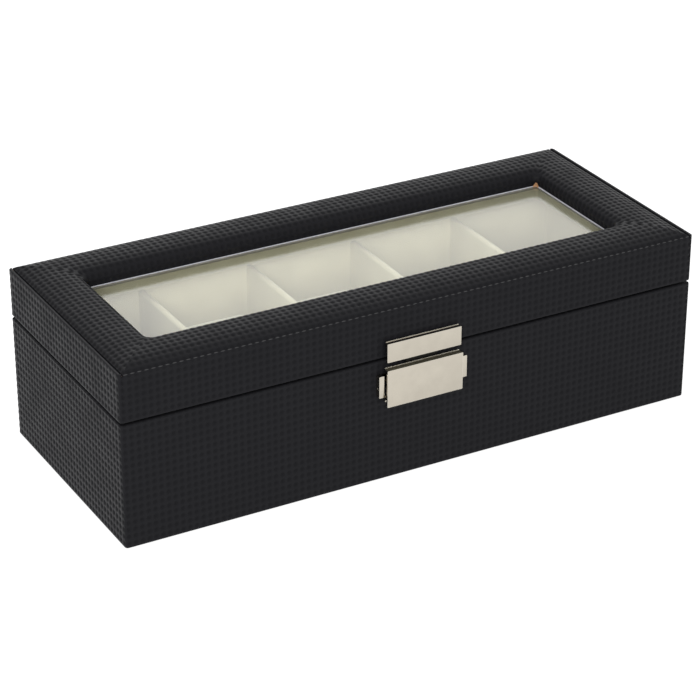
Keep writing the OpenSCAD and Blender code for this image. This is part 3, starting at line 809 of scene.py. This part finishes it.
def stuffed_block(low, high):
    """A block of velvet blown up by a short cloth simulation, about the middle of its box."""
    size = high - low - Vector((2, 2, 2)) * BLOW_CAP * BLOW_SHARE
    bm = bmesh.new()
    bmesh.ops.create_cube(bm, size=1)
    bmesh.ops.scale(bm, vec=size, verts=bm.verts)
    bmesh.ops.bevel(bm, geom=bm.edges, offset=BLOCK_ROUND, segments=3, affect="EDGES", profile=0.5)
    mesh = bpy.data.meshes.new("pillow")
    bm.to_mesh(mesh)
    bm.free()
    piece = bpy.data.objects.new("pillow_source", mesh)
    bpy.context.scene.collection.objects.link(piece)
    remesh = piece.modifiers.new("remesh", "REMESH")
    remesh.mode = "VOXEL"
    remesh.voxel_size = VOXEL
    applied(piece)
    rest = [v.co.copy() for v in piece.data.vertices]
    cloth = piece.modifiers.new("cloth", "CLOTH")
    cloth.settings.use_pressure = True
    cloth.settings.uniform_pressure_force = PRESSURE
    cloth.settings.effector_weights.gravity = 0
    scene = bpy.context.scene
    for number in range(1, BLOW_STEPS + 1):
        scene.frame_set(number)
    blown = applied(piece).data
    scene.frame_set(1)
    for vertex, start in zip(blown.vertices, rest):
        move = vertex.co - start
        if move.length > BLOW_CAP:
            vertex.co = start + move.normalized() * BLOW_CAP
    piece.modifiers.new("finer", "SUBSURF").levels = 1
    applied(piece)
    found = [v.co for v in piece.data.vertices]
    extent = [max(abs(p[n]) for p in found) for n in range(3)]
    goal = (high - low) / 2
    for vertex in piece.data.vertices:
        vertex.co = Vector(vertex.co[n] * goal[n] / extent[n] for n in range(3))
    mesh = piece.data
    bpy.data.objects.remove(piece)
    return mesh


def seam_loop(mesh, x):
    """Rounded cord sewn round a pillow where the plane at x cuts it, sunk into the velvet."""
    bm = bmesh.new()
    bm.from_mesh(mesh)
    cut = bmesh.ops.bisect_plane(
        bm, geom=bm.verts[:] + bm.edges[:] + bm.faces[:], plane_co=(x, 0, 0), plane_no=(1, 0, 0))
    ring = [g.co.copy() for g in cut["geom_cut"] if isinstance(g, bmesh.types.BMVert)]
    bm.free()
    ring.sort(key=lambda p: math.atan2(p.z, p.y))
    curve = bpy.data.curves.new("cord", "CURVE")
    curve.dimensions = "3D"
    curve.bevel_depth = CORD_R
    curve.bevel_resolution = 3
    spline = curve.splines.new("POLY")
    spline.points.add(len(ring) - 1)
    for point, at in zip(spline.points, ring):
        away = Vector((0, at.y, at.z)).normalized()
        point.co = (*(at - away * CORD_SUNK), 1)
    spline.use_cyclic_u = True
    holder = bpy.data.objects.new("cord", curve)
    bpy.context.scene.collection.objects.link(holder)
    graph = bpy.context.evaluated_depsgraph_get()
    tube = bpy.data.meshes.new_from_object(holder.evaluated_get(graph))
    bpy.data.objects.remove(holder)
    return tube


def pillow_mesh(source, number, fullness, centre, low, high):
    """One pillow with its own wrinkles and fullness, and a sewn cord round each end."""
    mesh = source.copy()
    seam = (high - low).x / 2 - SEAM_IN
    for vertex in mesh.vertices:
        co = vertex.co
        waves = noise.noise(Vector((
            co.x * WAVES_ALONG, co.y * WAVES_ACROSS, co.z * WAVES_ACROSS + number * WAVES_SHIFT)))
        near = abs(abs(co.x) - seam) / PINCH_WIDE
        pinch = PINCH * max(0, 1 - near * near)
        away = Vector((0, co.y, co.z)).normalized()
        vertex.co = co - away * (WRINKLE * (0.5 + 0.5 * waves) + pinch)
    bm = bmesh.new()
    bm.from_mesh(mesh)
    for side in (-1, 1):
        bm.from_mesh(seam_loop(mesh, side * seam))
    result = bpy.data.meshes.new(f"pillow_{number}")
    for vertex in bm.verts:
        vertex.co += centre
        vertex.co.z = max(low.z + (vertex.co.z - low.z) * fullness, low.z)
    bm.to_mesh(result)
    bm.free()
    result.shade_smooth()
    return result


def make_pillows():
    """All pillows start from one blown-up block, because their CAD nodes are alike."""
    low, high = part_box(PILLOWS[0])
    source = stuffed_block(low, high)
    for number, name in enumerate(PILLOWS, 1):
        low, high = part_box(name)
        mesh = pillow_mesh(source, number, FULLNESS[number - 1], (low + high) / 2, low, high)
        # The pillows take the paler velvet, which is painted light.
        piece = link(f"watch_{name}", mesh, MATERIALS["pillow_velvet_painted_light"], "base")
        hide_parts(name)


make_pillows()

# ---- Hard parts with rounded edges ----

EDGE_ROUND = 0.28 * MM
LOOKS_UP = 0.9
EDGE_HIGHLIGHT_INDEX = 1
UPWARD_INDEX = 2


def soften(node, name, body, upward):
    """Makes a copy of a nickel node of the latch, which stands for it. Its edges are rounded and take a
    pale nickel, a painted highlight, and the faces that look up have a look of their own (on the lever a
    darker nickel, painted shade)."""
    mesh = frame["nodes"][node].data.copy()
    # The node's own normals belong to its sharp edges.
    if "custom_normal" in mesh.attributes:
        mesh.attributes.remove(mesh.attributes["custom_normal"])
    bm = bmesh.new()
    bm.from_mesh(mesh)
    bmesh.ops.remove_doubles(bm, verts=bm.verts, dist=1e-6)
    bmesh.ops.dissolve_limit(bm, angle_limit=math.radians(1), verts=bm.verts, edges=bm.edges)
    bm.to_mesh(mesh)
    bm.free()
    piece = link(name, mesh, MATERIALS["nickel"], body)
    mesh.materials.append(MATERIALS["edge_highlight_nickel"])
    mesh.materials.append(MATERIALS[upward])
    for face in mesh.polygons:
        if face.normal.z > LOOKS_UP:
            face.material_index = UPWARD_INDEX
    edges = piece.modifiers.new("edges", "BEVEL")
    edges.material = EDGE_HIGHLIGHT_INDEX
    edges.width = EDGE_ROUND
    edges.segments = 2
    edges.limit_method = "ANGLE"
    edges.angle_limit = math.radians(35)
    applied(piece)
    rounded_off(piece.data, 40)
    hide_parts(node)


# The lever's faces that look up take a darker nickel: painted shade under the strike plate.
soften("latch_lever", "latch_press_plate", "lever", "painted_shade_nickel")
soften("latch_strike", "latch_upper_plate", "lid", "nickel")
soften("latch_backplate", "latch_base_plate", "base", "nickel")

# ---- Finishes of the CAD nodes ----

# Nodes whose look isn't that of their slot. The window's liner lies in the shade of the pad.
OWN_LOOKS = {"lid_window_liner": "shaded_velvet"}

for row in frame["record"]["subparts"]:
    node = frame["nodes"][row["node"]]
    if not node.hide_render:
        node.data.materials.clear()
        look = OWN_LOOKS.get(row["node"], row["material_slot"])
        node.data.materials.append(MATERIALS[look])

# ---- Scene ----

TARGET = Vector((-0.0027, 0, 0.0338))
AZIMUTH = math.radians(-28.93)
ELEVATION = math.radians(27.01)
DISTANCE = 1.1907
SENSOR = 36
LENS = 134.7
LIGHT_DISTANCE = 1.8


def make_camera():
    """A long lens that looks down at the front and the left end."""
    camera = bpy.data.objects.new("camera", bpy.data.cameras.new("camera"))
    bpy.context.scene.collection.objects.link(camera)
    camera.data.sensor_width = SENSOR
    camera.data.lens = LENS
    camera.data.clip_start = 0.05
    back = Vector((
        math.sin(AZIMUTH) * math.cos(ELEVATION),
        -math.cos(AZIMUTH) * math.cos(ELEVATION),
        math.sin(ELEVATION),
    ))
    camera.location = TARGET + back * DISTANCE
    camera.rotation_euler = (-back).to_track_quat("-Z", "Y").to_euler()
    bpy.context.scene.camera = camera


def make_floor():
    """A white floor that glows a little. It can't be seen from below, so the underside shows."""
    far, z = 6, -0.1 * MM
    corners = [(-far, -far, z), (far, -far, z), (far, far, z), (-far, far, z)]
    mesh = mesh_of("floor", corners, [(0, 1, 2, 3)])
    floor = bpy.data.objects.new("floor", mesh)
    bpy.context.scene.collection.objects.link(floor)
    material, tree, shader = new_material("floor")
    shader.inputs["Base Color"].default_value = (0.35, 0.35, 0.35, 1)
    shader.inputs["Emission Color"].default_value = (1, 1, 1, 1)
    shader.inputs["Emission Strength"].default_value = 0.8
    shader.inputs["Roughness"].default_value = 0.9
    shader.inputs["Specular IOR Level"].default_value = 0.1
    back = add(tree, "NewGeometry").outputs["Backfacing"]
    clear = add(tree, "BsdfTransparent", {"Color": (1, 1, 1, 1)})
    mixed = add(tree, "MixShader", {0: back, 1: shader.outputs[0], 2: clear.outputs[0]})
    put(tree, tree.nodes["Material Output"].inputs["Surface"], mixed.outputs[0])
    mesh.materials.append(material)


def add_softbox(name, direction, size, power):
    """A rectangular light that faces the middle of the box from a direction."""
    light = bpy.data.lights.new(name, "AREA")
    light.shape = "RECTANGLE"
    light.size, light.size_y = size
    light.energy = power
    holder = bpy.data.objects.new(name, light)
    bpy.context.scene.collection.objects.link(holder)
    towards = Vector(direction).normalized()
    holder.location = towards * LIGHT_DISTANCE
    holder.rotation_euler = towards.to_track_quat("Z", "Y").to_euler()


def make_light():
    """An even white studio with three softboxes."""
    world = bpy.data.worlds.new("studio")
    bpy.context.scene.world = world
    world.use_nodes = True
    background = world.node_tree.nodes["Background"]
    background.inputs["Color"].default_value = (1, 1, 1, 1)
    background.inputs["Strength"].default_value = 0.95
    add_softbox("back_softbox", (0.43, 0.78, 0.52), (1.9, 1.0), 6)
    add_softbox("front_softbox", (-0.45, -0.76, 0.47), (1.2, 0.55), 20)
    add_softbox("left_softbox", (-0.8, 0.25, 0.75), (1.0, 1.0), 2)


make_camera()
make_floor()
make_light()
bpy.context.scene.view_settings.view_transform = "Standard"
